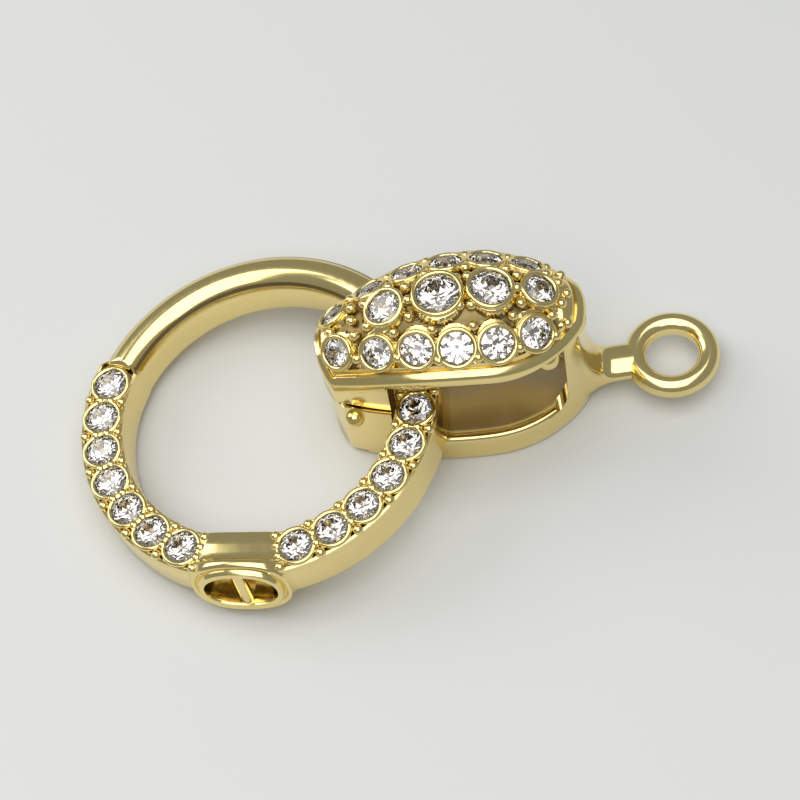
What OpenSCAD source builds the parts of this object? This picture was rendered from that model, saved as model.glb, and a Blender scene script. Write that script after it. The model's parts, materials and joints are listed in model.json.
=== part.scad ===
// Jewellery clasp: a stone-set ring held in the throat of a hinged leaf-shaped hook.
// Millimetres. The clasp lies on the plane z = 0. +X runs along the hook from its tip to its eyelet.

/* [Ring] */
// Outer diameter of the ring's wire
ring_od = 13.1; // [12.9:0.1:13.3]
// Width of the ring's wire, across the ring's radius
wire_w = 1.47; // [1.4:0.01:1.5]
// Height of the ring's wire, along the ring's axis
wire_h = 1.9; // [1.7:0.1:1.9]
// Tilt of the ring, which rests on the hook side higher than on the far side
ring_tilt = 8.2; // [8:0.1:9]
// Direction of the lug seen from above, from the hook's direction
lug_angle = -102; // [-120:1:-80]
// Width of the lug's mouth, along the ring
lug_w = 3.65; // [3.4:0.05:3.8]
// Height of the lug's mouth
lug_h = 2.8; // [2.6:0.05:2.9]
// Stones set in the ring on each side of the lug
ring_stone_count = 7; // [5:1:7]
// Diameter of a ring stone
ring_stone_d = 1.18; // [1:0.02:1.2]

/* [Hook] */
// Length of the leaf-shaped cover
cover_len = 9.35; // [9.2:0.05:9.5]
// Half of the cover's greatest width
cover_half_w = 2.5; // [2.45:0.05:2.6]
// Height of the cover's crown above the ground
cover_top = 7.2; // [7.1:0.05:7.3]
// Height of the polished rim's lower edge
rim_z = 5.1; // [5:0.05:5.2]
// Height of the hinge block at the tip
block_h = 3.1; // [3:0.05:3.15]
// Radius, from the ring's centre, of the hinge block's back, which faces the ring's hole
block_back_r = 4.72; // [4.6:0.02:4.74]
// Height of the tray's rim
tray_h = 1.35; // [1.2:0.05:1.35]
// Thickness of the tray's floor
floor_t = 0.55; // [0.5:0.05:0.7]

/* [Eyelet] */
// Distance from the ring's centre to the eyelet's centre
eyelet_x = 14.75; // [14.7:0.05:15]
// Outer diameter of the eyelet
eyelet_od = 3.45; // [3.4:0.05:3.6]
// Diameter of the eyelet's wire
eyelet_wire_d = 0.8; // [0.8:0.05:0.9]
// Diameter of the eyelet's hole
eyelet_hole_d = 1.95; // [1.92:0.01:2]

/* [Hinge] */
// Diameter of the hinge pin
pin_d = 0.6; // [0.5:0.05:0.6]
// Gap between the cover's knuckle and the pin, on the radius
pin_gap = 0.04; // [0.03:0.01:0.05]
// Gap between the cover and the hook's base
part_gap = 0.06; // [0.05:0.01:0.08]

/* [Stones] */
// Gap between a stone and its seat
seat_gap = 0.03; // [0.02:0.01:0.05]
// Radius of the beads that hold the stones
bead_r = 0.19; // [0.15:0.01:0.2]

/* [Hidden] */
$fn = 64;
gold = [0.86, 0.71, 0.38];
clear = [0.92, 0.94, 0.96];

// Ring: the mean radius, the stones' pitch and the height at which the ring's left edge meets the ground
ring_or = ring_od / 2;
ring_ir = ring_or - wire_w;
row_r = (ring_or + ring_ir) / 2;
ring_z = wire_h / 2 * cos(ring_tilt) + ring_or * sin(ring_tilt);
stone_pitch = 13.4;
first_stone = 21;
set_w = 1.58;
set_top = 0.8;
set_end = first_stone + (ring_stone_count - 0.5) * stone_pitch + 2;
bead_row = 0.62;
lug_in = 4.85;
lug_out = 6.95;
lug_rim_len = 0.55;
lug_wall = 0.56;
lug_back = 0.5;
lug_bar_d = 0.5;
lug_waist = 0.4;

// Hook: the axis beside the ring's centre, the leaf's outline, and the crown, which is round on top,
// straight and sloping at its flanks, and follows a long arc along the hook
axis_y = 0.9;
tip_x = eyelet_x - 3.1 - cover_len;
end_x = tip_x + cover_len;
wide_x = end_x - 3.6;
side_r = 13;
shoulder_r = 4.4;
tip_r = 2.6;
end_r = 2.35;
floor_x = tip_x + 2.35;
wall_x = end_x - 0.8;
wall_top = rim_z - 0.15;
tray_grow = 0.1;
tray_wall = 0.5;
eyelet_z = 0.95;
crown_x = tip_x + 5;
crown_r = 1.6;
crown_flank = 35;
crown_long_r = 7;
cover_wall = 0.75;
cavity_top = 5.7;
front_step = 0.25;

// Hinge: its axis, and the radius of the knuckles
hinge_x = tip_x + 0.95;
hinge_z = 2.5;
knuckle_r = 0.7;
knuckle_w = 1;
pin_len = 3.2;
snap_x = end_x - 1.4;
snap_d = 0.9;
snap_len = 2.9;
snap_z = rim_z - 0.35;

// The whole clasp is moved so that its box is centred on the origin
lug_side = abs(sin(lug_angle)) * lug_out + abs(cos(lug_angle)) * lug_w / 2;
left_edge = (row_r + set_w / 2) * cos(ring_tilt) + set_top * sin(ring_tilt);
middle_x = (eyelet_x + eyelet_od / 2 - left_edge) / 2;
middle_y = (ring_or - lug_side) / 2;

// Columns of a cover stone: distance from the leaf's tip, distance from the axis, diameter
STONE_X = 0;
STONE_Y = 1;
STONE_D = 2;
cover_rows = [
    [0.74, 0.76, 1.0],
    [2.15, 1.3, 1.06],
    [3.53, 1.58, 1.14],
    [4.9, 1.76, 1.18],
    [6.3, 1.74, 1.18],
    [7.67, 1.4, 1.12]];
cover_middle = [
    [2.6, 0, 1.24],
    [4.5, 0, 1.55],
    [6.33, 0, 1.42],
    [8.0, 0, 1.12]];
cover_stones = concat(cover_middle, cover_rows,
    [for (s = cover_rows) [s[STONE_X], -s[STONE_Y], s[STONE_D]]]);

// Columns of a bead: distance from the leaf's tip, distance from the axis on both sides
bead_pairs = [
    [1.42, 1.21], [1.45, 0.56], [1.93, 0.45], [2.84, 1.64], [2.84, 0.93], [3.42, 0.6], [4.16, 1.12],
    [4.24, 2.03], [5.2, 0.56], [5.6, 0.58], [5.57, 1.19], [5.6, 2.1], [6.96, 0.95], [7.06, 1.84],
    [7.3, 0.56], [8.3, 0.84], [8.34, 1.38], [8.6, 0.37]];
bead_middle = [[0.6, 0], [1.4, 0], [3.46, 0], [5.45, 0], [7.24, 0]];
cover_beads = concat(bead_middle, bead_pairs, [for (b = bead_pairs) [b[0], -b[1]]]);

// Cut of a stone, as parts of its radius
table_part = 0.57;
star_part = 0.8;
crown_part = 0.32;
girdle_part = 0.06;
pavilion_part = 0.84;
lower_part = 0.3;

function arc(cx, cy, r, from, to, steps) =
    [for (i = [0:steps]) let (a = from + (to - from) * i / steps) [cx + r * cos(a), cy + r * sin(a)]];

// The crown at x and y: how far its surface lies below its ridge, how high it is and where it faces
crown_turn = crown_r * sin(crown_flank);
function crown_steep(y) = sign(y) * (abs(y) < crown_turn ? tan(asin(abs(y) / crown_r)) : tan(crown_flank));
function crown_drop(y) = abs(y) < crown_turn
    ? crown_r - sqrt(crown_r * crown_r - y * y)
    : crown_r * (1 - cos(crown_flank)) + (abs(y) - crown_turn) * tan(crown_flank);
function crown_sweep(y) = crown_long_r - crown_drop(y);
function crown_rise(x, y) = sqrt(crown_sweep(y) * crown_sweep(y) - (x - crown_x) * (x - crown_x));
function crown_z(x, y) = cover_top - crown_long_r + crown_rise(x, y);
function crown_normal(x, y) = [x - crown_x, crown_sweep(y) * crown_steep(y), crown_rise(x, y)];

// A round cut stone with an octagonal table, standing on its girdle plane
module brilliant(d) {
    r = d / 2;
    crown = crown_part * r;
    belt = girdle_part * r / 2;
    deep = pavilion_part * r;
    star_z = belt + crown * (1 - (star_part * cos(22.5) - table_part) / (1 - table_part));
    lower_z = -belt - deep * (1 - lower_part * cos(22.5));
    table_ring = [for (k = [0:7]) [table_part * r * cos(45 * k), table_part * r * sin(45 * k), belt + crown]];
    star_ring = [for (k = [0:7]) let (a = 45 * k + 22.5) [star_part * r * cos(a), star_part * r * sin(a), star_z]];
    top_ring = [for (k = [0:15]) [r * cos(22.5 * k), r * sin(22.5 * k), belt]];
    low_ring = [for (k = [0:15]) [r * cos(22.5 * k), r * sin(22.5 * k), -belt]];
    pav_ring = [for (k = [0:7]) let (a = 45 * k + 22.5) [lower_part * r * cos(a), lower_part * r * sin(a), lower_z]];
    points = concat(table_ring, star_ring, top_ring, low_ring, pav_ring, [[0, 0, -belt - deep]]);
    star = 8;
    top = 16;
    low = 32;
    pav = 48;
    culet = 56;
    faces = concat(
        [[for (k = [7:-1:0]) k]],
        [for (k = [0:7]) [k, (k + 1) % 8, star + k]],
        [for (k = [0:7]) [k, star + k, top + 2 * k]],
        [for (k = [0:7]) [k, top + 2 * k, star + (k + 7) % 8]],
        [for (k = [0:7]) [star + k, top + 2 * k + 1, top + 2 * k]],
        [for (k = [0:7]) [star + k, top + (2 * k + 2) % 16, top + 2 * k + 1]],
        [for (k = [0:15]) [top + k, top + (k + 1) % 16, low + (k + 1) % 16]],
        [for (k = [0:15]) [top + k, low + (k + 1) % 16, low + k]],
        [for (k = [0:7]) [low + 2 * k, low + 2 * k + 1, pav + k]],
        [for (k = [0:7]) [low + 2 * k + 1, low + (2 * k + 2) % 16, pav + k]],
        [for (k = [0:7]) [low + 2 * k, pav + k, culet]],
        [for (k = [0:7]) [low + 2 * k, culet, pav + (k + 7) % 8]]);
    color(clear) polyhedron(points, faces);
}

// The room that a stone needs in the metal, from its culet to above its table
module seat(d) {
    r = d / 2;
    belt = girdle_part * r / 2 + seat_gap;
    crown_top = girdle_part * r / 2 + crown_part * r + seat_gap;
    deep = girdle_part * r / 2 + pavilion_part * r + 2 * seat_gap;
    rotate_extrude() polygon([
        [0, -deep], [2 * seat_gap, -deep], [r + seat_gap, -belt], [r + seat_gap, belt],
        [table_part * r + seat_gap, crown_top], [table_part * r + seat_gap, 1], [0, 1]]);
}

// Ring, in its own frame: flat, centred on the origin, hook side at +X
module in_ring_frame() {
    translate([0, 0, ring_z]) rotate([0, -ring_tilt, 0]) children();
}

module at_ring_stone(side, i) {
    rotate([0, 0, lug_angle + side * (first_stone + i * stone_pitch)]) translate([row_r, 0, set_top + 0.05]) children();
}

module wire_profile() {
    half = wire_w / 2;
    low = -wire_h / 2;
    foot = 0.3;
    translate([row_r, 0]) polygon(concat(
        arc(half - foot, low + foot, foot, -90, 0, 3),
        arc(0, wire_h / 2 - half, half, 0, 180, 10),
        arc(-half + foot, low + foot, foot, 180, 270, 3)));
}

module set_profile() {
    half = set_w / 2;
    low = -wire_h / 2 + 0.02;
    foot = 0.3;
    edge = 0.12;
    translate([row_r, 0]) polygon(concat(
        arc(half - foot, low + foot, foot, -90, 0, 3),
        arc(half - edge, set_top - edge, edge, 0, 90, 2),
        arc(-half + edge, set_top - edge, edge, 90, 180, 2),
        arc(-half + foot, low + foot, foot, 180, 270, 3)));
}

module oval(w, h) {
    reach = (w - h) / 2;
    translate([-reach, 0]) circle(d = h);
    translate([reach, 0]) circle(d = h);
    square([w - h, h], center = true);
}

module lug_tube() {
    rotate([90, 0, 90]) {
        translate([0, 0, lug_in]) linear_extrude(lug_out - lug_in - 0.1) oval(lug_w - lug_waist, lug_h - lug_waist);
        translate([0, 0, lug_out - lug_rim_len]) linear_extrude(lug_rim_len) oval(lug_w, lug_h);
    }
}

module lug_hollow() {
    rotate([90, 0, 90]) translate([0, 0, lug_in + lug_back])
        linear_extrude(lug_out) oval(lug_w - 2 * lug_wall, lug_h - 2 * lug_wall);
}

module ring() {
    color(gold) in_ring_frame() difference() {
        union() {
            difference() {
                union() {
                    rotate_extrude() wire_profile();
                    for (side = [-1, 1]) {
                        start = lug_angle + (side < 0 ? -set_end : 0);
                        rotate([0, 0, start]) rotate_extrude(angle = set_end) set_profile();
                    }
                    rotate([0, 0, lug_angle]) lug_tube();
                }
                rotate([0, 0, lug_angle]) lug_hollow();
            }
            rotate([0, 0, lug_angle]) translate([lug_out - 0.4, 0, -lug_h / 2 + 0.3])
                cylinder(h = lug_h - 0.6, d = lug_bar_d);
            for (side = [-1, 1], i = [0:ring_stone_count], across = [-bead_row, bead_row])
                rotate([0, 0, lug_angle + side * (first_stone + (i - 0.5) * stone_pitch)])
                    translate([row_r + across, 0, set_top + 0.03]) sphere(r = bead_r);
        }
        for (side = [-1, 1], i = [0:ring_stone_count - 1]) at_ring_stone(side, i) seat(ring_stone_d);
    }
}

module ring_stone(side, i) {
    in_ring_frame() at_ring_stone(side, i) brilliant(ring_stone_d);
}

// Hook, with its axis along +X
module in_hook_frame() {
    translate([0, axis_y, 0]) children();
}

// Outline of the leaf seen from above: two shallow side arcs, two rounder shoulders, a blunt tip.
// A positive grow moves every arc outwards, and back moves the tip alone towards the eyelet.
module leaf(grow = 0, back = 0) {
    $fn = 240;
    big = 20;
    nose_x = tip_x + back + tip_r;
    intersection() {
        translate([wide_x, side_r - cover_half_w]) circle(side_r + grow);
        translate([wide_x, cover_half_w - side_r]) circle(side_r + grow);
        union() {
            translate([nose_x, 0]) circle(tip_r + grow);
            translate([nose_x, -big / 2]) square([wide_x - nose_x, big]);
        }
    }
    intersection() {
        translate([wide_x, shoulder_r - cover_half_w]) circle(shoulder_r + grow);
        translate([wide_x, cover_half_w - shoulder_r]) circle(shoulder_r + grow);
        union() {
            translate([end_x - end_r, 0]) circle(end_r + grow);
            translate([wide_x, -big / 2]) square([end_x - end_r - wide_x, big]);
        }
    }
}

// Outline of the hinge block and of the cover's skirt above it, inside the ring's hole
module tip_outline(grow = 0, back = 0) {
    intersection() {
        leaf(grow, back);
        translate([0, -axis_y]) circle(block_back_r);
    }
}

// Everything between two heights, and between two places along the hook
module slab(x0, x1, z0, z1) {
    big = 20;
    translate([x0, -big / 2, z0]) cube([x1 - x0, big, z1 - z0]);
}

module hinge_barrel(r, len) {
    translate([hinge_x, 0, hinge_z]) rotate([90, 0, 0]) cylinder(h = len, r = r, center = true);
}

module tray() {
    difference() {
        intersection() {
            linear_extrude(tray_h) leaf(tray_grow);
            slab(tip_x + 1.2, end_x + 1, 0, tray_h);
        }
        translate([0, 0, floor_t]) intersection() {
            linear_extrude(tray_h) leaf(tray_grow - tray_wall);
            slab(floor_x, wall_x, 0, tray_h);
        }
    }
}

module hinge_block() {
    intersection() {
        linear_extrude(block_h + 1) tip_outline(tray_grow, front_step);
        union() {
            slab(tip_x, floor_x + 1, 0, hinge_z);
            slab(hinge_x, floor_x + 1, 0, block_h);
            hinge_barrel(knuckle_r, 6);
        }
    }
}

module end_wall() {
    intersection() {
        linear_extrude(wall_top) leaf(tray_grow);
        slab(wall_x, end_x + 1, 0, wall_top);
    }
}

// Neck between the end wall and the eyelet, with two round flares that run into the leaf's end
module neck() {
    half = 0.5;
    flare = 1.5;
    end_arc = end_r + tray_grow;
    root = (half + flare) * end_arc / (end_arc + flare);
    flare_x = end_x - end_r + sqrt(pow(end_arc + flare, 2) - pow(half + flare, 2));
    eyelet_side = eyelet_x - eyelet_od / 2 + 0.4;
    translate([0, 0, eyelet_z - eyelet_wire_d / 2]) linear_extrude(eyelet_wire_d) {
        difference() {
            translate([wall_x, -root]) square([flare_x - wall_x, 2 * root]);
            for (side = [-1, 1]) translate([flare_x, side * (half + flare)]) circle(flare);
        }
        translate([flare_x - 0.1, -half]) square([eyelet_side - flare_x + 0.1, 2 * half]);
    }
}

module eyelet() {
    translate([eyelet_x, 0, eyelet_z]) rotate_extrude()
        translate([(eyelet_od - eyelet_wire_d) / 2, 0]) circle(d = eyelet_wire_d);
}

module hook_base() {
    slot = knuckle_w / 2 + part_gap;
    swing = knuckle_r + part_gap;
    color(gold) in_hook_frame() difference() {
        union() {
            tray();
            hinge_block();
            end_wall();
            neck();
            eyelet();
        }
        translate([eyelet_x, 0, 0]) cylinder(h = 2 * eyelet_z, d = eyelet_hole_d);
        hinge_barrel(pin_d / 2 + 0.01, 6);
        hinge_barrel(swing, 2 * slot);
        translate([hinge_x - swing, -slot, hinge_z]) cube([2 * swing, 2 * slot, block_h]);
    }
}

// Cover, in the hook's frame
module crown_solid() {
    $fn = 240;
    edge = cover_half_w + 0.2;
    translate([crown_x, 0, cover_top - crown_long_r]) rotate([90, 0, 0]) rotate_extrude() polygon(concat(
        [[0, -edge], [crown_sweep(-edge), -edge]],
        arc(crown_long_r - crown_r, 0, crown_r, -crown_flank, crown_flank, 13),
        [[crown_sweep(edge), edge], [0, edge]]));
}

module cover_shell() {
    difference() {
        intersection() {
            union() {
                translate([0, 0, rim_z]) linear_extrude(cover_top) leaf();
                translate([0, 0, block_h + part_gap]) linear_extrude(cover_top) tip_outline();
            }
            crown_solid();
        }
        translate([0, 0, rim_z - 0.5]) intersection() {
            linear_extrude(cavity_top - rim_z + 0.5) leaf(-cover_wall);
            slab(floor_x + 0.4, end_x - 0.9, 0, cavity_top);
        }
        hinge_barrel(knuckle_r + part_gap, 6);
    }
}

module cover_knuckle() {
    hinge_barrel(knuckle_r - part_gap, knuckle_w);
    translate([hinge_x - 0.3, -knuckle_w / 2, hinge_z])
        cube([knuckle_r + 0.2, knuckle_w, block_h + 0.5 - hinge_z]);
}

module snap_bar() {
    r = snap_d / 2;
    straight = snap_len / 2;
    translate([snap_x, 0, snap_z]) {
        rotate([90, 0, 0]) rotate_extrude() polygon(concat(
            [[0, -straight - r]], arc(0, -straight, r, -75, 0, 5), arc(0, straight, r, 0, 75, 5), [[0, straight + r]]));
        translate([-0.25, -straight, 0]) cube([0.5, snap_len, cavity_top - snap_z + 0.1]);
    }
}

module on_crown(x, y) {
    n = crown_normal(tip_x + x, y);
    translate([tip_x + x, y, crown_z(tip_x + x, y)]) rotate([0, acos(n[2] / norm(n)), atan2(n[1], n[0])]) children();
}

module cover() {
    color(gold) in_hook_frame() difference() {
        union() {
            cover_shell();
            cover_knuckle();
            snap_bar();
            for (b = cover_beads)
                translate([tip_x + b[STONE_X], b[STONE_Y], crown_z(tip_x + b[STONE_X], b[STONE_Y])]) sphere(r = bead_r);
        }
        hinge_barrel(pin_d / 2 + pin_gap, 6);
        for (s = cover_stones) on_crown(s[STONE_X], s[STONE_Y]) translate([0, 0, -0.05]) seat(s[STONE_D]);
    }
}

module cover_stone(i) {
    s = cover_stones[i];
    in_hook_frame() on_crown(s[STONE_X], s[STONE_Y]) translate([0, 0, -0.05]) brilliant(s[STONE_D]);
}

module hinge_pin() {
    color(gold) in_hook_frame() hinge_barrel(pin_d / 2, pin_len);
}

module centred() {
    translate([-middle_x, -middle_y, 0]) children();
}

centred() ring();
centred() hook_base();
centred() cover();
centred() hinge_pin();
for (i = [0:ring_stone_count - 1]) {
    centred() ring_stone(-1, i);
    centred() ring_stone(1, i);
}
for (i = [0:len(cover_stones) - 1])
    centred() cover_stone(i);
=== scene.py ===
"""Jewellery clasp: a stone-set ring in the throat of a hook with a hinged, stone-set cover."""

import json
import math

import bpy
from mathutils import Matrix, Vector
from mathutils.kdtree import KDTree


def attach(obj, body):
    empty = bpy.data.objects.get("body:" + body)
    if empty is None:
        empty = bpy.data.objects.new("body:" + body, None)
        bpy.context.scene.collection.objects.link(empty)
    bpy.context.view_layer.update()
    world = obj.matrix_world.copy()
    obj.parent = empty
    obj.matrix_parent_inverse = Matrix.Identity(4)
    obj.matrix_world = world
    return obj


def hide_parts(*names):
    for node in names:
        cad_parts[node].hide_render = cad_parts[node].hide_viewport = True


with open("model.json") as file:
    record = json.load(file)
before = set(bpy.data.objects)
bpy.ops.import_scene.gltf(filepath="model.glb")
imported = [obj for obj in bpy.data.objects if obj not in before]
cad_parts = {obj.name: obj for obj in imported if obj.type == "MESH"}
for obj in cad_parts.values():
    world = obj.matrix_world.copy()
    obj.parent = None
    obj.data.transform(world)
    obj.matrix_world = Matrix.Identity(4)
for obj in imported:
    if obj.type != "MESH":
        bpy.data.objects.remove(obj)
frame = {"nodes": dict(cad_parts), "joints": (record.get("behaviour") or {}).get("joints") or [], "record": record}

bl_info = {
    "name": "Jewellery Clasp",
    "version": (1, 0, 0),
    "blender": (4, 5, 0),
    "location": "View3D > Sidebar > Clasp",
    "description": "Models a stone-set jewellery clasp in polished gold around its packed solids",
    "category": "Add Mesh",
}

# Sizes are in millimetres throughout, and MM turns them into the frame's metres
MM = 0.001
MERGE = 1e-5
SMOOTH_BELOW = math.radians(32)
JOINTS = {joint["name"]: joint for joint in frame["joints"]}
MOUNTS = {mount["name"]: mount for mount in frame["record"]["mounts"]}
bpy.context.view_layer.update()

# Where the ring and the hook lie, from the joints. The hook's own frame starts at its tip, on the ground
RING_CENTRE = Vector(JOINTS["ring_turn"]["pos_m"])
RING_AXIS = Vector(JOINTS["ring_turn"]["axis"])
RING_PLACE = Matrix.Translation(RING_CENTRE) @ Matrix.Rotation(math.atan2(RING_AXIS.x, RING_AXIS.z), 4, "Y")
HINGE = Vector(JOINTS["cover_hinge"]["pos_m"])
HINGE_FROM_TIP = 0.95
HOOK_PLACE = Matrix.Translation((HINGE.x - HINGE_FROM_TIP * MM, HINGE.y, 0))
EYELET = HOOK_PLACE.inverted() @ Vector(MOUNTS["eyelet"]["pos_m"])


def length(name, description, default):
    """A size in millimetres that a user may change."""
    return bpy.props.FloatProperty(name=name, description=description, default=default, min=0, precision=3)


def direction(name, description, default):
    """An angle in degrees that a user may change."""
    return bpy.props.FloatProperty(name=name, description=description, default=default)


def colour(name, description, default):
    """A colour that a user may change."""
    return bpy.props.FloatVectorProperty(
        name=name, description=description, default=default, subtype="COLOR", size=3, min=0, max=1)


class ClaspRingSettings(bpy.types.PropertyGroup):
    """Sizes of the ring, in millimetres and degrees"""
    row_radius: length("Row radius", "From the ring's centre to the middle of its wire, mm", 5.815)
    wire_width: length("Wire width", "Width of the plain wire across the ring, mm", 1.47)
    wire_height: length("Wire height", "Height of the plain wire, mm", 1.9)
    set_width: length("Set width", "Width of the stone-set band, mm", 1.58)
    set_top: length("Set top", "Height of the band's face above the wire's middle, mm", 0.8)
    stone_size: length("Stone size", "Diameter of a ring stone, mm", 1.18)
    stone_count: bpy.props.IntProperty(
        name="Stones", description="Stones on each side of the lug", default=7, min=1)
    first_stone: direction("First stone", "Angle from the lug to the first stone, degrees", 21)
    stone_pitch: direction("Stone pitch", "Angle between two stones, degrees", 13.4)
    lug_angle: direction("Lug direction", "Angle from the hook to the lug, degrees", -102)
    lug_width: length("Lug width", "Width of the lug at its flange, mm", 3.6)
    lug_height: length("Lug height", "Height of the lug at its flange, mm", 2.8)


class ClaspHookSettings(bpy.types.PropertyGroup):
    """Sizes of the hook and its cover, in millimetres"""
    cover_length: length("Cover length", "Length of the leaf-shaped cover, mm", 9.35)
    half_width: length("Half width", "Half of the cover's greatest width, mm", 2.5)
    cover_top: length("Cover top", "Height of the crown above the ground, mm", 7.2)
    rim_height: length("Rim height", "Height of the cover's polished rim, mm", 5.1)
    block_height: length("Block height", "Height of the hinge block, mm", 3.1)
    tray_height: length("Tray height", "Height of the tray's rim, mm", 1.35)
    floor_thickness: length("Floor", "Thickness of the tray's floor, mm", 0.55)
    eyelet_size: length("Eyelet", "Outer diameter of the eyelet, mm", 3.45)
    eyelet_wire: length("Eyelet wire", "Diameter of the eyelet's wire, mm", 0.8)


class ClaspFinishSettings(bpy.types.PropertyGroup):
    """Colours of the metal, the stones and the floor"""
    gold: colour("Gold", "Polished yellow gold", (0.92, 0.77, 0.38))
    gold_deep: colour("Deep gold", "Gold in its darker, browner patches", (0.84, 0.67, 0.27))
    # The inner golds are a duller satin finish, and their darker base colours are partly painted shade inside the
    # throat and under the cover
    inner: colour("Inner gold", "Satin gold with painted shade inside the throat", (0.66, 0.54, 0.33))
    inner_deep: colour("Deep inner gold", "Satin gold with painted shade in its darker patches", (0.5, 0.385, 0.235))
    # Painted shade: gold darkened almost to brown where it lies deep between the stones, standing for the shade
    # that falls there
    cut: colour("Painted shade gold", "Gold darkened by painted shade between the stones", (0.27, 0.2, 0.085))
    stone: colour("Stone", "Colour of the clear stones", (0.7, 0.66, 0.63))
    floor: colour("Floor", "Pale floor", (0.735, 0.742, 0.73))


def settings(group):
    """One of this add-on's groups of settings."""
    return getattr(bpy.context.scene, "clasp_" + group)


# Modelling by hand: every piece starts as a primitive in millimetres, in the ring's or the hook's own frame

def alone(piece):
    """Selects one piece and nothing else."""
    bpy.ops.object.select_all(action="DESELECT")
    piece.select_set(True)
    bpy.context.view_layer.objects.active = piece


def added(name):
    """Names the primitive that was just added and lays its place into its mesh."""
    piece = bpy.context.active_object
    piece.name = piece.data.name = name
    bpy.ops.object.transform_apply(location=True, rotation=True, scale=True)
    return piece


def move_loop(piece, old, new):
    """Moves the selected vertices from one loop of points to another."""
    tree = KDTree(len(old))
    for number, point in enumerate(old):
        tree.insert(point, number)
    tree.balance()
    for vertex in piece.data.vertices:
        if vertex.select:
            vertex.co = new[tree.find(vertex.co)[1]]


def extruded(name, loops, capped=True):
    """A circle primitive laid on the first loop and extruded through the others."""
    bpy.ops.object.select_all(action="DESELECT")
    bpy.ops.mesh.primitive_circle_add(vertices=len(loops[0]), fill_type="NGON" if capped else "NOTHING")
    piece = added(name)
    for vertex, point in zip(piece.data.vertices, loops[0]):
        vertex.co = point
    for old, new in zip(loops, loops[1:]):
        bpy.ops.object.mode_set(mode="EDIT")
        bpy.ops.mesh.extrude_region_move()
        bpy.ops.object.mode_set(mode="OBJECT")
        move_loop(piece, old, new)
    face_outwards(piece)
    return piece


def face_outwards(piece, merge=MERGE):
    """Merges what meets and turns every face outwards."""
    alone(piece)
    bpy.ops.object.mode_set(mode="EDIT")
    bpy.ops.mesh.select_all(action="SELECT")
    bpy.ops.mesh.remove_doubles(threshold=merge)
    bpy.ops.mesh.normals_make_consistent(inside=False)
    bpy.ops.object.mode_set(mode="OBJECT")


def block(name, low, high):
    """A cube primitive between two corners."""
    bpy.ops.object.select_all(action="DESELECT")
    middle = [(a + b) / 2 for a, b in zip(low, high)]
    bpy.ops.mesh.primitive_cube_add(size=1, location=middle, scale=[b - a for a, b in zip(low, high)])
    return added(name)


def rod(name, radius, height, middle, along="Z", sides=96):
    """A cylinder primitive along Z or Y."""
    bpy.ops.object.select_all(action="DESELECT")
    turn = (math.pi / 2, 0, 0) if along == "Y" else (0, 0, 0)
    bpy.ops.mesh.primitive_cylinder_add(
        vertices=sides, radius=radius, depth=height, location=middle, rotation=turn)
    return added(name)


def joined(pieces):
    """Several pieces as one."""
    bpy.ops.object.select_all(action="DESELECT")
    for piece in pieces:
        piece.select_set(True)
    bpy.context.view_layer.objects.active = pieces[0]
    if len(pieces) > 1:
        bpy.ops.object.join()
    return pieces[0]


def repeated(model, places):
    """Copies of one modelled piece, each with its own mesh, as one object."""
    copies = []
    for place in places:
        copy = model.copy()
        copy.data = model.data.copy()
        bpy.context.collection.objects.link(copy)
        copy.data.transform(place)
        copies.append(copy)
    bpy.data.objects.remove(model)
    return joined(copies)


def boolean(piece, other, operation):
    """Adds, cuts away or keeps what another piece fills, and uses it up."""
    alone(piece)
    modifier = piece.modifiers.new("Shape", "BOOLEAN")
    modifier.operation = operation
    modifier.solver = "EXACT"
    modifier.object = other
    bpy.ops.object.modifier_apply(modifier=modifier.name)
    bpy.data.objects.remove(other)


def choose_edges(piece, chosen):
    """Selects the edges that a test picks, and leaves the piece in edit mode."""
    alone(piece)
    bpy.ops.object.mode_set(mode="EDIT")
    bpy.ops.mesh.select_mode(type="EDGE")
    bpy.ops.mesh.select_all(action="DESELECT")
    bpy.ops.object.mode_set(mode="OBJECT")
    for edge in piece.data.edges:
        edge.select = chosen(edge)
    bpy.ops.object.mode_set(mode="EDIT")


def edges_done():
    """Goes back to choosing vertices and leaves edit mode."""
    bpy.ops.mesh.select_mode(type="VERT")
    bpy.ops.object.mode_set(mode="OBJECT")


def bevelled(piece, chosen, width):
    """Rounds the edges whose two ends are chosen."""
    points = piece.data.vertices
    choose_edges(piece, lambda edge: all(chosen(points[number].co) for number in edge.vertices))
    bpy.ops.mesh.bevel(offset=width, segments=3, affect="EDGES", clamp_overlap=True)
    edges_done()


def settle(piece, place, body, nodes, satin_and_shade=None, cut=None):
    """Finishes a piece's faces, lays it in the frame in metres, and says what it rides on and stands for."""
    piece.data.materials.clear()
    for material in (gold_material(), satin_and_shade_material(), painted_shade_material()):
        piece.data.materials.append(material)
    # Faces in the throat and under the cover take satin gold with painted shade, and faces deep between the stones
    # take painted shade as their colour
    for face in piece.data.polygons:
        here = face.center, face.normal
        face.material_index = 1 if satin_and_shade and satin_and_shade(*here) else 2 if cut and cut(*here) else 0
    piece.data.transform(place @ Matrix.Scale(MM, 4))
    face_outwards(piece, merge=MERGE * MM)
    bpy.ops.object.shade_smooth_by_angle(angle=SMOOTH_BELOW, keep_sharp_edges=False)
    modifier = piece.modifiers.new("Even shading", "WEIGHTED_NORMAL")
    modifier.keep_sharp = True
    bpy.ops.object.modifier_apply(modifier=modifier.name)
    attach(piece, body)
    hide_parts(*nodes)


# Outlines

OVAL_POINTS = 64


def arc(x, y, radius, start, end, steps):
    """Points along an arc, with its angles in degrees."""
    turns = [math.radians(start + (end - start) * step / steps) for step in range(steps + 1)]
    return [(x + radius * math.cos(turn), y + radius * math.sin(turn)) for turn in turns]


def circle(radius, count):
    """Points about a full circle."""
    return arc(0, 0, radius, 0, 360 - 360 / count, count - 1)


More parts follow.
